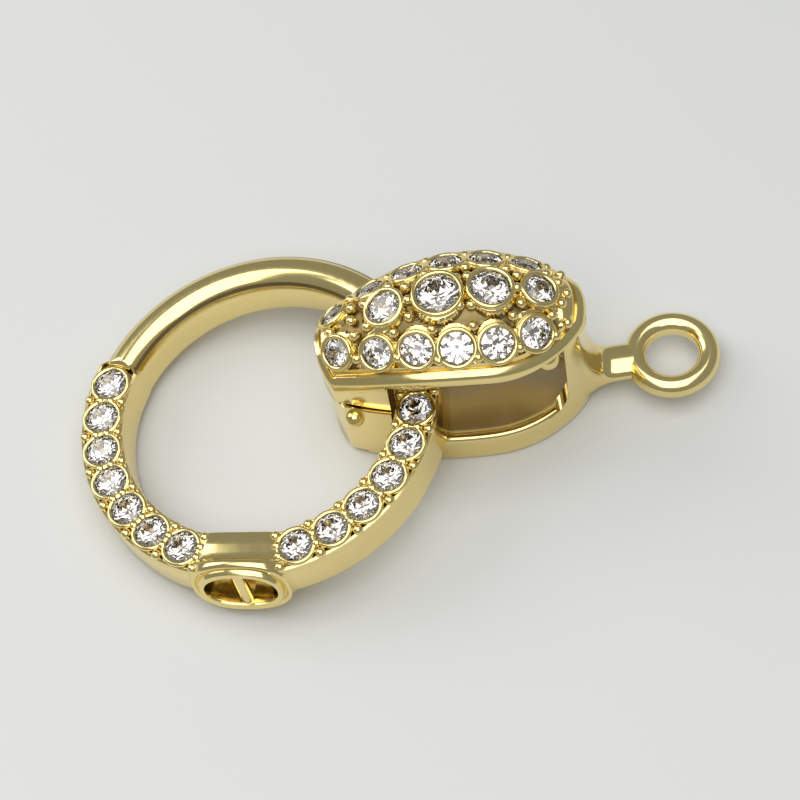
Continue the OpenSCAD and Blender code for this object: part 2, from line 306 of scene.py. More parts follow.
def oval(wide, high, fullness, shift=0):
    """Points about an oval. A fullness of 2 is a plain oval, and a higher one gives squarer corners."""
    points = []
    for number in range(OVAL_POINTS):
        turn = 2 * math.pi * (number + shift) / OVAL_POINTS
        across = math.copysign(abs(math.cos(turn)) ** (2 / fullness), math.cos(turn)) * wide / 2
        up = math.copysign(abs(math.sin(turn)) ** (2 / fullness), math.sin(turn)) * high / 2
        points.append((across, up))
    return points


def ramp(value, start, span):
    """How far a value has come from a start over a span, from 0 to 1."""
    return min(1.0, max(0.0, (value - start) / span))


def prism(name, profile, half=4):
    """An outline of distances and heights, drawn out to both sides of the hook's axis."""
    return extruded(name, [[Vector((x, y, z)) for x, z in profile] for y in (-half, half)])


def slab(name, start, end, low, high):
    """A block across the whole hook, between two distances from its tip and two heights."""
    return block(name, (start, -BEYOND, low), (end, BEYOND, high))


# Stones' seats, and the collars and beads that hold the stones. A part is a share of a stone's radius

SEAT_GAP = 0.03
SEAT_POINT = 0.05
SEAT_WALL = 0.03
SEAT_OPEN = 0.6
GIRDLE_PART = 0.06
PAVILION_PART = 0.84
STONE_SINK = 0.05
COLLAR_OUT = 0.07
COLLAR_OVER = 0.03
COLLAR_LIP = 0.06
COLLAR_RADIUS = 0.1


def seat(diameter):
    """A stone's room in the metal: a cone, a wall at the girdle and the collar's edge closed over it."""
    radius = diameter / 2
    belt = GIRDLE_PART * radius / 2
    deep = belt + PAVILION_PART * radius + 2 * SEAT_GAP
    rings = [(SEAT_POINT, -deep), (radius + SEAT_GAP, -belt - SEAT_GAP), (radius + SEAT_GAP, SEAT_WALL),
             (radius - COLLAR_OVER, SEAT_WALL + COLLAR_LIP), (radius - COLLAR_OVER, SEAT_WALL + SEAT_OPEN)]
    return extruded("seat", [[Vector((x, y, z)) for x, y in circle(wide, 24)] for wide, z in rings])


def collar(diameter):
    """The raised, rounded edge of metal about one stone."""
    bpy.ops.object.select_all(action="DESELECT")
    bpy.ops.mesh.primitive_torus_add(major_segments=40, minor_segments=12,
                                     major_radius=diameter / 2 + COLLAR_OUT, minor_radius=COLLAR_RADIUS)
    return added("collar")


def bead(radius):
    """One half-sunk bead."""
    bpy.ops.object.select_all(action="DESELECT")
    bpy.ops.mesh.primitive_ico_sphere_add(subdivisions=3, radius=radius)
    return added("bead")


def placed(piece, place):
    """A piece moved by a matrix."""
    piece.data.transform(place)
    return piece


# Ring, with the lug's distances measured from the ring's centre

FOOT = 0.3
RIM = 0.17
RIM_RISE = 0.05
CHANNEL = 0.16
BAND_LIFT = 0.02
BRIDGE_DEGREES = 3
CHANNEL_SLACK = 0.03
COLLAR_LIFT = 0.02
COLLAR_TURN = 0.3
SEAT_FIRST_TURN = 0.03
SEAT_TURN = 0.11
BEAD_LIFT = 0.03
BEAD_ROWS = (-0.61, -0.205, 0.205, 0.61)
RING_BEAD_RADIUS = 0.195
LUG_IN = 4.85
LUG_OUT = 6.95
LUG_DEPTH = 5.35
LUG_WALL = 0.5
LUG_LOWER = 0.15
LUG_SLANT = 0.36
LUG_TALL = 2.8
SLANT_FROM = 5.6
SLANT_OVER = 0.8
MOUTH_FULLNESS = 2.2
BAR_RADIUS = 0.23
BAR_SHORTER = 0.9
BAR_BACK = 0.3

# The lug from the band out to its mouth: distance out, how much narrower and lower than its flange, fullness
LUG_STATIONS = [
    (LUG_IN, 0.3, 1.15, 5), (LUG_IN + 0.03, 0.14, 1.0, 5), (LUG_IN + 0.1, 0.06, 0.91, 5), (5.4, 0, 0.84, 5),
    (5.7, -0.3, 0.84, 4.5), (5.95, -0.9, 0.82, 4), (6.1, -1.05, 0.78, 3.4), (6.22, -0.9, 0.68, 3),
    (6.32, -0.65, 0.5, 2.8), (6.4, -0.45, 0.3, 2.6), (6.47, -0.28, 0.14, 2.4), (6.54, -0.14, 0.04, 2.4),
    (6.62, -0.02, 0, 2.4), (6.7, 0.02, 0.01, 2.4), (6.77, 0.07, 0.06, 2.4), (6.8, 0.16, 0.14, 2.4),
    (6.8, 0.28, 0.26, 2.4), (6.76, 0.38, 0.36, 2.4), (6.72, 0.43, 0.41, 2.3), (6.72, 0.5, 0.48, 2.3),
    (6.8, 0.54, 0.52, 2.3), (6.9, 0.58, 0.56, 2.3), (LUG_OUT, 0.66, 0.64, 2.3), (6.93, 0.8, 0.78, 2.3)]

# The lug's hollow: distance out, how much wider than its straight part
HOLLOW_STATIONS = [(LUG_DEPTH, -0.2), (LUG_DEPTH + 0.1, 0), (LUG_OUT - 0.12, 0), (LUG_OUT - 0.04, 0.04),
                   (LUG_OUT + 0.3, 0.2)]


def wire_profile(ring):
    """The plain wire across the ring: round on top, with softened lower corners."""
    half = ring.wire_width / 2
    low = -ring.wire_height / 2
    return (arc(half - FOOT, low + FOOT, FOOT, -90, 0, 4)
            + arc(0, ring.wire_height / 2 - half, half, 0, 180, 16)
            + arc(FOOT - half, low + FOOT, FOOT, 180, 270, 4) + [(0, low)])


def set_profile(ring):
    """The stone-set band across the ring: a shallow channel between two polished rims."""
    half = ring.set_width / 2
    low = -ring.wire_height / 2 + BAND_LIFT
    top = ring.set_top + RIM_RISE
    side = [(half - 0.03, top - 0.42), (half - 0.05, top - 0.3), (half - 0.01, top - 0.22),
            (half, top - 0.12), (half - 0.03, top - 0.04), (half - 0.1, top), (half - RIM + 0.03, top - 0.01),
            (half - RIM - 0.03, top - CHANNEL)]
    return (arc(half - FOOT, low + FOOT, FOOT, -90, 0, 4) + side + [(0, top - CHANNEL)]
            + [(-x, z) for x, z in reversed(side)]
            + arc(FOOT - half, low + FOOT, FOOT, 180, 270, 4) + [(0, low)])


def around(radius, height, degrees):
    """A point of the ring at a radius, a height and an angle."""
    turn = math.radians(degrees)
    return Vector((radius * math.cos(turn), radius * math.sin(turn), height))


def swept(name, ring, profile, start, sweep, steps):
    """A profile spun about the ring's axis."""
    loop = [around(ring.row_radius + x, z, start) for x, z in profile]
    piece = extruded(name, [loop], capped=False)
    bpy.ops.object.mode_set(mode="EDIT")
    bpy.ops.mesh.select_all(action="SELECT")
    bpy.ops.mesh.spin(steps=steps, angle=math.radians(sweep), center=(0, 0, 0), axis=(0, 0, -1))
    bpy.ops.object.mode_set(mode="OBJECT")
    return piece


def across_lug(wide, high, out, fullness):
    """An oval across the lug at a distance out, which slants more and more towards the lug's mouth."""
    slant = LUG_SLANT * ramp(out, SLANT_FROM, SLANT_OVER)
    return [Vector((out - slant * (0.5 + up / LUG_TALL), across, up))
            for across, up in oval(wide, high, fullness)]


class OBJECT_OT_clasp_ring(bpy.types.Operator):
    """Model the ring: a plain wire, a stone-set band and the lug with its bar"""
    bl_idname = "object.clasp_ring"
    bl_label = "Ring"

    def execute(self, context):
        ring = settings("ring")
        set_end = ring.first_stone + (ring.stone_count - 0.5) * ring.stone_pitch
        start = ring.lug_angle - set_end
        band = swept("ring_body", ring, set_profile(ring), start, 2 * set_end, steps=180)
        wire = swept("wire", ring, wire_profile(ring), start + 2 * set_end + BRIDGE_DEGREES,
                     360 - 2 * set_end - 2 * BRIDGE_DEGREES, steps=120)
        piece = joined([band, wire])
        for end in (start - BRIDGE_DEGREES / 2, start + 2 * set_end + BRIDGE_DEGREES / 2):
            self.bridge(piece, end)
        face_outwards(piece)
        lug_turn = Matrix.Rotation(math.radians(ring.lug_angle), 4, "Z")
        for tool, operation in ((self.lug(ring), "UNION"), (self.hollow(ring), "DIFFERENCE"),
                                (self.bar(ring), "UNION")):
            boolean(piece, placed(tool, lug_turn), operation)
        self.set_stones(piece, ring)

        # Faces on the channel's floor between the rims take the painted shade between the stones
        def between(middle, facing):
            off = math.hypot(middle.x, middle.y) - ring.row_radius
            low = ring.set_top + RIM_RISE - CHANNEL - CHANNEL_SLACK
            on_floor = facing.z > 0.5 and low < middle.z < low + 2 * CHANNEL_SLACK
            return on_floor and abs(off) < ring.set_width / 2 - RIM

        settle(piece, RING_PLACE, "ring", ["ring"], cut=between)
        return {"FINISHED"}

    def set_stones(self, piece, ring):
        """Raises the collars, cuts the seats and adds the beads, each turned so that no edges meet."""
        def along(shift):
            return [ring.lug_angle + side * (ring.first_stone + (number + shift) * ring.stone_pitch)
                    for side in (-1, 1) for number in range(ring.stone_count)]

        seats = [Matrix.Translation(around(ring.row_radius, ring.set_top + STONE_SINK, degrees))
                 for degrees in along(0)]
        for turn in (0, 1):
            collars = [place @ Matrix.Translation((0, 0, COLLAR_LIFT))
                       @ Matrix.Rotation(number * COLLAR_TURN, 4, "Z")
                       for number, place in enumerate(seats[turn::2])]
            boolean(piece, repeated(collar(ring.stone_size), collars), "UNION")
        for turn in (0, 1):
            rooms = [place @ Matrix.Rotation(SEAT_FIRST_TURN + number * SEAT_TURN, 4, "Z")
                     for number, place in enumerate(seats[turn::2])]
            boolean(piece, repeated(seat(ring.stone_size), rooms), "DIFFERENCE")
        beads = [Matrix.Translation(around(ring.row_radius + across, ring.set_top + BEAD_LIFT, degrees))
                 @ Matrix.Rotation(degrees + across, 4, "Z")
                 for degrees in along(-0.5) for across in BEAD_ROWS]
        for turn in (0, 1):
            boolean(piece, repeated(bead(RING_BEAD_RADIUS), beads[turn::2]), "UNION")

    def bridge(self, piece, middle):
        """Closes the gap between the wire and the band at one end."""
        faces_at = {key: 0 for key in piece.data.edge_keys}
        for face in piece.data.polygons:
            for key in face.edge_keys:
                faces_at[key] += 1
        points = piece.data.vertices

        def at_gap(edge):
            ends = [points[number].co for number in edge.vertices]
            off = [abs((math.degrees(math.atan2(end.y, end.x)) - middle + 180) % 360 - 180) for end in ends]
            return faces_at[edge.key] == 1 and max(off) < BRIDGE_DEGREES

        choose_edges(piece, at_gap)
        bpy.ops.mesh.bridge_edge_loops(number_cuts=2, interpolation="LINEAR")
        edges_done()

    def lug(self, ring):
        """The lug's body: it spreads out of the band to a flange, and ends in a groove and a rounded rim."""
        loops = [across_lug(ring.lug_width - narrower, ring.lug_height - lower, out, fullness)
                 for out, narrower, lower, fullness in LUG_STATIONS]
        return extruded("lug", loops)

    def hollow(self, ring):
        """The hollow of the lug, with a small flare at its mouth."""
        wide, high = ring.lug_width - 2 * LUG_WALL, ring.lug_height - 2 * LUG_WALL - LUG_LOWER
        loops = [across_lug(wide + more, high + more, out, MOUTH_FULLNESS) for out, more in HOLLOW_STATIONS]
        return extruded("hollow", loops)

    def bar(self, ring):
        """The bar across the lug's mouth, along the ring's axis but for the mouth's slant."""
        bar = rod("bar", BAR_RADIUS, ring.lug_height - BAR_SHORTER, (0, 0, 0), sides=32)
        lean = math.atan2(LUG_SLANT, LUG_TALL)
        place = Matrix.Translation((LUG_OUT - LUG_SLANT / 2 - BAR_BACK, 0, 0))
        return placed(bar, place @ Matrix.Rotation(-lean, 4, "Y"))


# Hook: the leaf's outline, the tray and block, the end wall, the crown, and the tables of stones and beads

BEFORE_TIP = -1
PAST_END = 12
BEYOND = 5
NOSE_RADIUS = 2.6
END_RADIUS = 2.35
SIDE_RADIUS = 13
SHOULDER_RADIUS = 4.4
WIDE_X = 5.75
LEAF_FROM = 0.3
LEAF_TO = 9
TRAY_GROW = 0.1
TRAY_WALL = 0.5
TRAY_FRONT = 1.2
FRONT_STEP = 0.25
FRONT_BEVEL = 0.6
RING_FROM_TIP = (-2.3, -0.9)
BLOCK_BACK_RADIUS = 4.72
HINGE_Z = 2.5
PIN_PLACE = (HINGE_FROM_TIP, 0, HINGE_Z)
KNUCKLE_RADIUS = 0.7
KNUCKLE_WIDTH = 1.0
PIN_RADIUS = 0.3
PIN_GAP = 0.04
PIN_HOLE_GAP = 0.01
PART_GAP = 0.06
RIVET_MORE = 0.05
RIVET_OUT = 1.69
RIVET_TURN = (1.5, 0, 0.2)
WALL_X = 8.55
WALL_SWEEP = 0.7
WALL_LOWER = 0.15
WALL_FOOT = 0.02
WALL_BEVEL = 0.1
WALL_SINK = 0.06
SWEEP_PITCH = 0.15
SWEEP_STEPS = 5
WALL_FULLNESS = 9
NECK_HALF = 0.72
NECK_FLARE = 1.5
NECK_FULLNESS = 2
NECK_FROM = 0.2
NECK_STEPS = 44
NECK_OVER = 0.33
ROUND_OVER = 1.5
FALL_FROM = 9.1
FALL_OVER = 1.5
FALL_BEND = 3.6
LIFT_FROM = 9.3
LIFT_OVER = 1.2
CROWN_X = 5.0
CROWN_RADIUS = 1.6
CROWN_FLANK = math.radians(35)
CROWN_LONG_RADIUS = 7
CROWN_RINGS = 44
CROWN_EDGE = 0.25
LIP_NOSE_SHARE = 0.7
COVER_POINTS = 288
COVER_WALL = 0.75
CAVITY_FROM = 2.75
CAVITY_BACK = 0.9
CAVITY_TOP = 5.7
SNAP_BACK = 1.4
SNAP_BELOW = 0.55
SNAP_RADIUS = 0.42
SNAP_LONG = 3.2
WEB_HALF = 0.25

# Skirt of the cover: height above its lower edge, how far out. Lip: depth below the crown, how far out
COVER_SKIRT = [(0, -0.1), (0.03, -0.03), (0.1, 0)]
COVER_LIP = [(0.68, 0), (0.62, 0.08), (0.5, 0.15), (0.38, 0.185), (0.26, 0.19), (0.17, 0.17), (0.11, 0.13),
             (0.09, 0.08), (0.1, 0.02), (0.12, -0.05), (0.14, -0.1), (0.19, -0.13), (0.25, -0.15),
             (0.25, -0.19), (0.03, -0.23)]

# Stones of the cover: distance from the tip, distance from the axis on both sides, diameter
COVER_ROWS = [(0.74, 0.76, 1.0), (2.15, 1.3, 1.06), (3.53, 1.58, 1.14), (4.9, 1.76, 1.18), (6.3, 1.74, 1.18),
              (7.67, 1.4, 1.12)]
COVER_MIDDLE = [(2.6, 0, 1.24), (4.5, 0, 1.55), (6.33, 0, 1.42), (8.0, 0, 1.12)]
COVER_STONES = COVER_MIDDLE + COVER_ROWS + [(x, -y, size) for x, y, size in COVER_ROWS]

# Beads of the cover: distance from the tip, distance from the axis on both sides
BEAD_PAIRS = [(1.42, 1.21), (1.45, 0.56), (1.93, 0.45), (2.84, 1.64), (2.84, 0.93), (3.42, 0.6), (4.16, 1.12),
              (4.24, 2.03), (5.2, 0.56), (5.6, 0.58), (5.57, 1.19), (5.6, 2.1), (6.96, 0.95), (7.06, 1.84),
              (7.3, 0.56), (8.3, 0.84), (8.34, 1.38), (8.68, 0.42), (8.8, 0.98)]
BEAD_MIDDLE = [(0.6, 0), (1.4, 0), (3.46, 0), (5.45, 0), (7.24, 0), (8.92, 0)]
COVER_BEADS = BEAD_MIDDLE + BEAD_PAIRS + [(x, -y) for x, y in BEAD_PAIRS]
COVER_BEAD_RADIUS = 0.19
COVER_COLLAR_LIFT = 0.01

# Metal cut away between the collars: how far from a stone it starts, over what it deepens, how deep it goes,
# and where it starts and ends along the leaf
COLLAR = 0.12
COLLAR_SLOPE = 0.1
COLLAR_CUT = 0.2
CUT_FROM = 0.2
CUT_FROM_OVER = 0.4
CUT_TO = 8.8
CUT_TO_OVER = 0.5


def half_width(hook, x, grow=0.0, back=0.0):
    """Half of the leaf's width at a distance from its tip. It can be grown, and its nose set back."""
    def arc_width(radius, centre):
        return math.sqrt(max(0.0, (radius + grow) ** 2 - (x - centre) ** 2))
    if x < WIDE_X:
        side = arc_width(SIDE_RADIUS, WIDE_X) - (SIDE_RADIUS - hook.half_width)
        nose = back + NOSE_RADIUS
        return min(side, arc_width(NOSE_RADIUS, nose)) if x < nose else side
    side = arc_width(SHOULDER_RADIUS, WIDE_X) - (SHOULDER_RADIUS - hook.half_width)
    end = hook.cover_length - END_RADIUS
    return min(side, arc_width(END_RADIUS, end)) if x > end else side


def within_leaf(hook, middle, grow):
    """How far a point lies inside the leaf's outline, sideways."""
    return half_width(hook, min(max(middle.x, LEAF_FROM), LEAF_TO), grow) - abs(middle.y)


def leaf(hook, z, grow=0.0, back=0.0, count=144):
    """The leaf's outline at a height, or at a height worked out from its x and y."""
    first, last = back - grow, hook.cover_length + grow
    points = []
    for number in range(count):
        turn = 2 * math.pi * (number + 0.5) / count
        x = (first + last) / 2 - (last - first) / 2 * math.cos(turn)
        y = math.copysign(half_width(hook, x, grow, back), math.sin(turn))
        points.append(Vector((x, y, z(x, y) if callable(z) else z)))
    return points


def crown_drop(y):
    """How far the crown lies below its ridge at a distance from the axis."""
    turn = CROWN_RADIUS * math.sin(CROWN_FLANK)
    if abs(y) < turn:
        return CROWN_RADIUS - math.sqrt(CROWN_RADIUS ** 2 - y * y)
    return CROWN_RADIUS * (1 - math.cos(CROWN_FLANK)) + (abs(y) - turn) * math.tan(CROWN_FLANK)


def crown_height(hook, x, y):
    """Height of the crown's surface."""
    sweep = CROWN_LONG_RADIUS - crown_drop(y)
    return hook.cover_top - CROWN_LONG_RADIUS + math.sqrt(sweep ** 2 - (x - CROWN_X) ** 2)


def cut_height(hook, x, y):
    """Height of the crown after the metal between the stones' collars is cut away."""
    clear = min(math.hypot(x - place, y - side) - size / 2 for place, side, size in COVER_STONES)
    share = ramp(clear, COLLAR, COLLAR_SLOPE)
    share *= min(ramp(x, CUT_FROM, CUT_FROM_OVER), ramp(CUT_TO - x, 0, CUT_TO_OVER))
    return crown_height(hook, x, y) - COLLAR_CUT * share * share * (3 - 2 * share)


def on_crown(hook, x, y):
    """The place on the crown at x and y, turned to face outwards there."""
    step = 1e-3
    slope_x = (crown_height(hook, x + step, y) - crown_height(hook, x - step, y)) / (2 * step)
    slope_y = (crown_height(hook, x, y + step) - crown_height(hook, x, y - step)) / (2 * step)
    outwards = Vector((-slope_x, -slope_y, 1)).normalized().to_track_quat("Z", "Y")
    return Matrix.Translation((x, y, crown_height(hook, x, y))) @ outwards.to_matrix().to_4x4()


class OBJECT_OT_clasp_hook(bpy.types.Operator):
    """Model the hook's base: tray, hinge block, end wall, neck and eyelet"""
    bl_idname = "object.clasp_hook"
    bl_label = "Hook base"

    def execute(self, context):
        hook = settings("hook")
        piece = self.tray(hook)
        for part in (self.hinge_block(hook), self.end_wall(hook), self.eyelet(hook)):
            boolean(piece, part, "UNION")
        swing = KNUCKLE_RADIUS + PART_GAP
        half = KNUCKLE_WIDTH / 2 + PART_GAP
        low = (HINGE_FROM_TIP - swing, -half, HINGE_Z)
        high = (HINGE_FROM_TIP + swing, half, hook.block_height + 1)
        for room in (rod("pin_hole", PIN_RADIUS + PIN_HOLE_GAP, 6, PIN_PLACE, "Y", 40),
                     rod("swing", swing, 2 * half, PIN_PLACE, "Y", 64), block("slot", low, high)):
            boolean(piece, room, "DIFFERENCE")
        for side in (-1, 1):
            bpy.ops.object.select_all(action="DESELECT")
            bpy.ops.mesh.primitive_uv_sphere_add(
                segments=32, ring_count=20, radius=PIN_RADIUS + RIVET_MORE,
                location=(HINGE_FROM_TIP, side * RIVET_OUT, HINGE_Z), rotation=RIVET_TURN)
            boolean(piece, added("rivet"), "UNION")

        # Faces in the tray and on the end wall's inner face take the satin gold darkened as painted shade
        def inside(middle, facing):
            on_wall = middle.x > WALL_X - 0.02 and facing.x < -0.9
            if within_leaf(hook, middle, TRAY_GROW - TRAY_WALL) < -0.02:
                return on_wall and middle.z > hook.tray_height
            in_tray = 2.4 < middle.x < WALL_X + 0.02 and 0.3 < middle.z < hook.tray_height - 0.1
            return in_tray and facing.z > -0.5 or on_wall and middle.z > 1

        settle(piece, HOOK_PLACE, "hook", ["hook_base"], satin_and_shade=inside)
        return {"FINISHED"}

    def tray(self, hook):
        """The open tray: rounded rim, round lower edge and a flat floor."""
        high, thick, inner = hook.tray_height, hook.floor_thickness, TRAY_GROW - TRAY_WALL
        rings = [(TRAY_GROW - 0.22, 0), (TRAY_GROW - 0.09, 0.03), (TRAY_GROW - 0.02, 0.1), (TRAY_GROW, 0.22),
                 (TRAY_GROW, high - 0.16), (TRAY_GROW - 0.03, high - 0.07), (TRAY_GROW - 0.09, high - 0.02),
                 (TRAY_GROW - 0.16, high), (inner + 0.12, high), (inner + 0.05, high - 0.03),
                 (inner, high - 0.12), (inner, thick + 0.15), (inner - 0.05, thick + 0.04),
                 (inner - 0.15, thick)]
        tray = extruded("hook_body", [leaf(hook, z, grow) for grow, z in rings])
        boolean(tray, slab("front", BEFORE_TIP, TRAY_FRONT, -1, 3), "DIFFERENCE")
        return tray

    def hinge_block(self, hook):
        """The block at the tip, set back from the cover's nose, with a bevelled front and a round top."""
        rings = [(TRAY_GROW - 0.24, 0.003), (TRAY_GROW - 0.13, 0.05), (TRAY_GROW - 0.04, 0.16),
                 (TRAY_GROW, 0.32), (TRAY_GROW, 4.5)]
        solid = extruded("hinge_block", [leaf(hook, z, grow, FRONT_STEP) for grow, z in rings])
        boolean(solid, rod("back", BLOCK_BACK_RADIUS, 12, (*RING_FROM_TIP, 0), sides=256), "INTERSECT")
        top_turn = math.degrees(math.asin((hook.block_height - HINGE_Z) / KNUCKLE_RADIUS))
        front = HINGE_FROM_TIP - KNUCKLE_RADIUS
        shoulder = HINGE_Z - FRONT_BEVEL
        profile = ([(BEFORE_TIP, -1), (BEFORE_TIP, shoulder), (front - 0.16, shoulder),
                    (front + 0.06, HINGE_Z)]
                   + arc(HINGE_FROM_TIP, HINGE_Z, KNUCKLE_RADIUS - 0.03, 165, top_turn, 14)
                   + [(4, hook.block_height), (4, -1)])
        boolean(solid, prism("side", profile), "INTERSECT")
        return solid

    def end_wall(self, hook):
        """The wall behind the throat: it sweeps up out of the tray's rim and runs down into the neck."""
        arc_radius = SHOULDER_RADIUS + TRAY_GROW - 0.01
        aside = SHOULDER_RADIUS - hook.half_width
        flare_x = WIDE_X + math.sqrt((arc_radius + NECK_FLARE) ** 2 - (NECK_HALF + NECK_FLARE + aside) ** 2)
        meet_x = WIDE_X + (flare_x - WIDE_X) * arc_radius / (arc_radius + NECK_FLARE)
        wall_top = hook.rim_height - WALL_LOWER
        neck_low = EYELET.z / MM - hook.eyelet_wire / 2
        neck_top = EYELET.z / MM + hook.eyelet_wire / 2
        first = WALL_X - WALL_SWEEP - 0.1
        last = EYELET.x / MM - hook.eyelet_size / 2 + NECK_OVER
        places = [first + SWEEP_PITCH * step for step in range(SWEEP_STEPS)]
        places += [WALL_X + NECK_FROM + (last - WALL_X - NECK_FROM) * step / NECK_STEPS
                   for step in range(NECK_STEPS + 1)]
        loops = []
        for x in places:
            if x < meet_x:
                half = math.sqrt(arc_radius ** 2 - (x - WIDE_X) ** 2) - aside
            else:
                half = NECK_HALF + NECK_FLARE - math.sqrt(
                    max(0.0, NECK_FLARE ** 2 - max(0.0, flare_x - x) ** 2))
            lift = ramp(x, LIFT_FROM, LIFT_OVER)
            lift *= lift * (3 - 2 * lift)
            top = neck_top + (wall_top - neck_top) * (1 - ramp(x, FALL_FROM, FALL_OVER)) ** FALL_BEND
            low = WALL_FOOT + (neck_low - WALL_FOOT) * lift
            rounder = math.sin(math.pi / 2 * ramp(x, WALL_X, ROUND_OVER))
            fullness = WALL_FULLNESS - (WALL_FULLNESS - NECK_FULLNESS) * rounder
            loops.append([Vector((x, across, up + (top + low) / 2))
                          for across, up in oval(2 * half, top - low, fullness, 0.5)])
        wall = extruded("end_wall", loops)
        rim = hook.tray_height - WALL_SINK
        sweep = arc(WALL_X - WALL_SWEEP, rim + WALL_SWEEP, WALL_SWEEP, -90, 0, 16)
        boolean(wall, prism("throat", [(4, 9), (4, rim)] + sweep + [(WALL_X, 9)]), "DIFFERENCE")
        straight = rim + WALL_SWEEP - 0.02
        bevelled(wall, lambda point: abs(point.x - WALL_X) < 1e-3 and point.z > straight, WALL_BEVEL)
        room = extruded("room", [leaf(hook, z, TRAY_GROW - TRAY_WALL + 0.02) for z in (0.5, 9)])
        boolean(room, slab("behind", WALL_X + 0.01, PAST_END, -1, 10), "DIFFERENCE")
        boolean(wall, room, "DIFFERENCE")
        return wall

    def eyelet(self, hook):
        """The round-wire eyelet, drilled to its hole."""
        bpy.ops.object.select_all(action="DESELECT")
        bpy.ops.mesh.primitive_torus_add(
            location=EYELET / MM, rotation=(0, 0, 0.02), major_segments=96, minor_segments=28,
            major_radius=(hook.eyelet_size - hook.eyelet_wire) / 2, minor_radius=hook.eyelet_wire / 2)
        ring = added("eyelet")
        boolean(ring, rod("hole", MOUNTS["eyelet"]["dims"]["r_mm"], 4, EYELET / MM), "DIFFERENCE")
        return ring


